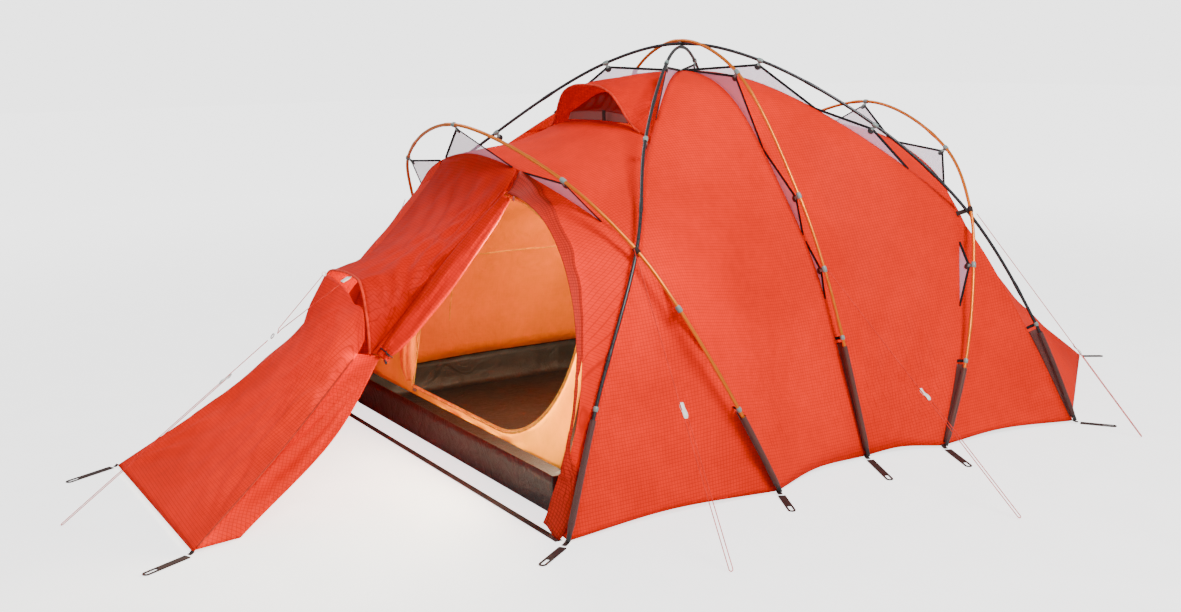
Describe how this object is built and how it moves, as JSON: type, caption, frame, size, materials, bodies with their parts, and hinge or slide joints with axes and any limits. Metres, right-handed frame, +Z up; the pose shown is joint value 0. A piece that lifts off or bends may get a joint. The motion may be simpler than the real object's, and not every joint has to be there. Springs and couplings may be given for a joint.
{
  "type": "dome tent",
  "caption": "Pitched dome tent: arched outer poles carry a flysheet with a roof vent and an open front porch, an inner tent hangs inside, and guylines run out to the ground.",
  "frame": {"origin": "on the ground, at the middle of the pitched tent's length and width with its guylines left out", "axes": "+Z up, the porch points along -Y, the open door faces +X"},
  "size_m": [2.9372, 4.0196, 1.314],
  "materials": {
    "pole_grey": "anodised, satin",
    "pole_gold": "anodised, glossy",
    "flysheet": "coated ripstop, soft sheen",
    "inner_cloth": "light uncoated ripstop",
    "groundsheet": "heavy coated cloth, satin",
    "mesh": "fine netting",
    "webbing": "woven tape",
    "cord": "braided cord",
    "tensioner": "moulded",
    "metal": "die cast"
  },
  "bodies": {
    "tent": {"pole_diagonal_front_right": "pole_grey", "pole_diagonal_front_left": "pole_grey", "hoop_front": "pole_gold", "hoop_middle": "pole_gold", "hoop_rear": "pole_gold", "fly_right_side": "flysheet", "fly_left_side": "flysheet", "fly_front_roof": "flysheet", "roof_vent_hood": "flysheet", "fly_rear_roof": "flysheet", "fly_rear_tail": "flysheet", "porch_door_surround_right": "flysheet", "porch_door_surround_left": "flysheet", "porch_canopy": "flysheet", "porch_door_left": "flysheet", "porch_front_panel": "flysheet", "porch_door_roll": "flysheet", "porch_door_flap": "flysheet", "roof_vent_mesh": "mesh", "groundsheet_tub": "groundsheet", "inner_tent_canopy": "inner_cloth", "inner_front_wall": "inner_cloth", "inner_rear_wall": "inner_cloth", "inner_door_roll": "inner_cloth", "front_foot_strap": "webbing", "guyline_front_side_right": "cord", "guyline_front_side_left": "cord", "guyline_middle_right": "cord", "guyline_middle_left": "cord", "guyline_rear_side_right": "cord", "guyline_rear_side_left": "cord", "guyline_front": "cord", "guyline_ring": "metal", "guyline_front_bridle": "cord"},
    "peg_loop_front_corner_right": {"peg_loop_front_corner_right": "webbing"},
    "peg_loop_front_corner_left": {"peg_loop_front_corner_left": "webbing"},
    "peg_loop_front_hoop_right": {"peg_loop_front_hoop_right": "webbing"},
    "peg_loop_front_hoop_left": {"peg_loop_front_hoop_left": "webbing"},
    "peg_loop_middle_hoop_right": {"peg_loop_middle_hoop_right": "webbing"},
    "peg_loop_middle_hoop_left": {"peg_loop_middle_hoop_left": "webbing"},
    "peg_loop_rear_hoop_right": {"peg_loop_rear_hoop_right": "webbing"},
    "peg_loop_rear_hoop_left": {"peg_loop_rear_hoop_left": "webbing"},
    "peg_loop_rear_corner_right": {"peg_loop_rear_corner_right": "webbing"},
    "peg_loop_rear_corner_left": {"peg_loop_rear_corner_left": "webbing"},
    "peg_loop_tail_right": {"peg_loop_tail_right": "webbing"},
    "peg_loop_tail_left": {"peg_loop_tail_left": "webbing"},
    "peg_loop_porch_right": {"peg_loop_porch_right": "webbing"},
    "peg_loop_porch_left": {"peg_loop_porch_left": "webbing"},
    "tensioner_front_side_right": {"tensioner_front_side_right": "tensioner"},
    "tensioner_front_side_left": {"tensioner_front_side_left": "tensioner"},
    "tensioner_middle_right": {"tensioner_middle_right": "tensioner"},
    "tensioner_middle_left": {"tensioner_middle_left": "tensioner"},
    "tensioner_rear_side_right": {"tensioner_rear_side_right": "tensioner"},
    "tensioner_rear_side_left": {"tensioner_rear_side_left": "tensioner"},
    "tensioner_front": {"tensioner_front": "tensioner"},
    "roof_vent_prop": {"roof_vent_prop": "webbing"},
    "door_toggle": {"door_toggle": "metal"},
    "fly_zip_slider": {"fly_zip_slider": "metal"},
    "inner_zip_slider": {"inner_zip_slider": "metal"}
  },
  "joints": [
    {"name": "peg_loop_front_corner_right_lift", "type": "hinge", "parent": "tent", "child": "peg_loop_front_corner_right", "pos_m": [0.949, -0.9687, 0], "axis": [-0.8249, -0.5652, 0], "range_deg": [0, 75]},
    {"name": "peg_loop_front_corner_left_lift", "type": "hinge", "parent": "tent", "child": "peg_loop_front_corner_left", "pos_m": [-0.949, -0.9687, 0], "axis": [-0.8249, 0.5652, 0], "range_deg": [0, 75]},
    {"name": "peg_loop_front_hoop_right_lift", "type": "hinge", "parent": "tent", "child": "peg_loop_front_hoop_right", "pos_m": [0.958, -0.2357, 0], "axis": [-0.4411, -0.8974, 0], "range_deg": [0, 75]},
    {"name": "peg_loop_front_hoop_left_lift", "type": "hinge", "parent": "tent", "child": "peg_loop_front_hoop_left", "pos_m": [-0.958, -0.2357, 0], "axis": [-0.4411, 0.8974, 0], "range_deg": [0, 75]},
    {"name": "peg_loop_middle_hoop_right_lift", "type": "hinge", "parent": "tent", "child": "peg_loop_middle_hoop_right", "pos_m": [0.856, 0.2083, 0], "axis": [-0.4307, -0.9025, 0], "range_deg": [0, 75]},
    {"name": "peg_loop_middle_hoop_left_lift", "type": "hinge", "parent": "tent", "child": "peg_loop_middle_hoop_left", "pos_m": [-0.856, 0.2083, 0], "axis": [-0.4307, 0.9025, 0], "range_deg": [0, 75]},
    {"name": "peg_loop_rear_hoop_right_lift", "type": "hinge", "parent": "tent", "child": "peg_loop_rear_hoop_right", "pos_m": [0.917, 0.4873, 0], "axis": [-0.4198, -0.9076, 0], "range_deg": [0, 75]},
    {"name": "peg_loop_rear_hoop_left_lift", "type": "hinge", "parent": "tent", "child": "peg_loop_rear_hoop_left", "pos_m": [-0.917, 0.4873, 0], "axis": [-0.4198, 0.9076, 0], "range_deg": [0, 75]},
    {"name": "peg_loop_rear_corner_right_lift", "type": "hinge", "parent": "tent", "child": "peg_loop_rear_corner_right", "pos_m": [0.957, 1.0813, 0], "axis": [0.5665, -0.824, 0], "range_deg": [0, 75]},
    {"name": "peg_loop_rear_corner_left_lift", "type": "hinge", "parent": "tent", "child": "peg_loop_rear_corner_left", "pos_m": [-0.957, 1.0813, 0], "axis": [0.5665, 0.824, 0], "range_deg": [0, 75]},
    {"name": "peg_loop_tail_right_lift", "type": "hinge", "parent": "tent", "child": "peg_loop_tail_right", "pos_m": [0.326, 1.8993, 0], "axis": [0.8204, -0.5718, 0], "range_deg": [0, 75]},
    {"name": "peg_loop_tail_left_lift", "type": "hinge", "parent": "tent", "child": "peg_loop_tail_left", "pos_m": [-0.326, 1.8993, 0], "axis": [0.8204, 0.5718, 0], "range_deg": [0, 75]},
    {"name": "peg_loop_porch_right_lift", "type": "hinge", "parent": "tent", "child": "peg_loop_porch_right", "pos_m": [0.452, -1.8147, 0], "axis": [-0.9, -0.4359, 0], "range_deg": [0, 75]},
    {"name": "peg_loop_porch_left_lift", "type": "hinge", "parent": "tent", "child": "peg_loop_porch_left", "pos_m": [-0.45, -1.8167, 0], "axis": [-0.892, -0.452, 0], "range_deg": [0, 75]},
    {"name": "tensioner_front_side_right_slide", "type": "slide", "parent": "tent", "child": "tensioner_front_side_right", "axis": [0.5887, -0.0896, -0.8034], "range_m": [0, 0.25]},
    {"name": "tensioner_front_side_left_slide", "type": "slide", "parent": "tent", "child": "tensioner_front_side_left", "axis": [-0.5887, -0.0896, -0.8034], "range_m": [0, 0.25]},
    {"name": "tensioner_middle_right_slide", "type": "slide", "parent": "tent", "child": "tensioner_middle_right", "axis": [0.7963, 0.0155, -0.6047], "range_m": [0, 0.25]},
    {"name": "tensioner_middle_left_slide", "type": "slide", "parent": "tent", "child": "tensioner_middle_left", "axis": [-0.7963, 0.0155, -0.6047], "range_m": [0, 0.25]},
    {"name": "tensioner_rear_side_right_slide", "type": "slide", "parent": "tent", "child": "tensioner_rear_side_right", "axis": [0.5383, 0.3046, -0.7858], "range_m": [0, 0.2]},
    {"name": "tensioner_rear_side_left_slide", "type": "slide", "parent": "tent", "child": "tensioner_rear_side_left", "axis": [-0.5383, 0.3046, -0.7858], "range_m": [0, 0.2]},
    {"name": "tensioner_front_slide", "type": "slide", "parent": "tent", "child": "tensioner_front", "axis": [0.0183, -0.8164, -0.5772], "range_m": [0, 0.25]},
    {"name": "roof_vent_prop_fold", "type": "hinge", "parent": "tent", "child": "roof_vent_prop", "pos_m": [0.066, -0.2652, 1.052], "axis": [1, 0, 0], "range_deg": [0, 80]},
    {"name": "door_toggle_turn", "type": "hinge", "parent": "tent", "child": "door_toggle", "pos_m": [0.318, -1.1887, 0.409], "axis": [0, 1, 0], "range_deg": [-35, 35]},
    {"name": "fly_zip_slider_travel", "type": "hinge", "parent": "tent", "child": "fly_zip_slider", "pos_m": [0.27, -0.8887, 0.2716], "axis": [0, 0.9701, -0.2425], "range_deg": [0, 104]},
    {"name": "inner_zip_slider_travel", "type": "slide", "parent": "tent", "child": "inner_zip_slider", "axis": [1, 0, 0], "range_m": [0, 0.58]}
  ]
}
